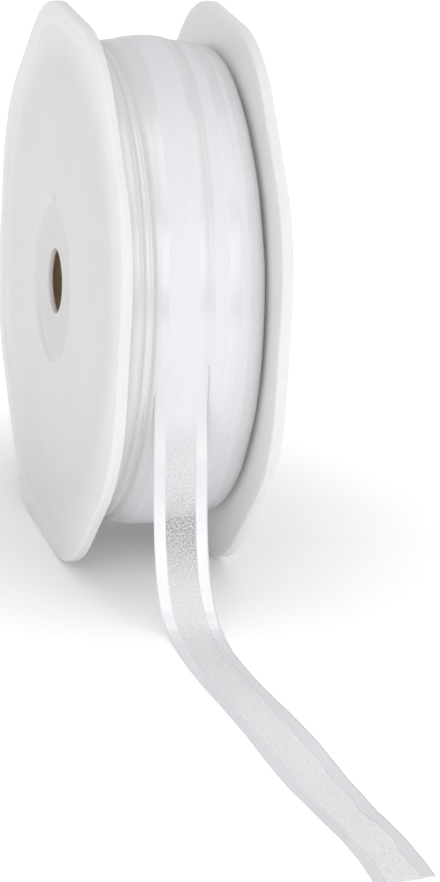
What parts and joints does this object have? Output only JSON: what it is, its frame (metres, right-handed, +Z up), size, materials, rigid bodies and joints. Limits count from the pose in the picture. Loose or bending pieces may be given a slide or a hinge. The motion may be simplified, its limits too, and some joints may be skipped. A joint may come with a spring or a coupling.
{
  "type": "reel of organza ribbon",
  "caption": "Narrow sheer ribbon with satin edges, wound on a white reel with round-cornered octagonal end plates, its loose end let down and lying forward.",
  "frame": {"origin": "on the surface that the reel stands on, at the middle of the ground that the whole part covers", "axes": "+X along the spindle axis to the right, +Y to the back, +Z up; the loose end runs forward along -Y"},
  "size_m": [0.033, 0.217, 0.1016],
  "materials": {
    "reel_plastic": "white moulded plastic, smooth, with a soft sheen",
    "core_board": "dark brown board",
    "wound_ribbon": "white organza with satin edges, many layers deep",
    "loose_ribbon": "sheer white organza with satin edges"
  },
  "bodies": {
    "root": {"plate_left": "reel_plastic", "plate_right": "reel_plastic", "core": "core_board", "winding": "wound_ribbon", "loose_end": "loose_ribbon"}
  },
  "joints": []
}
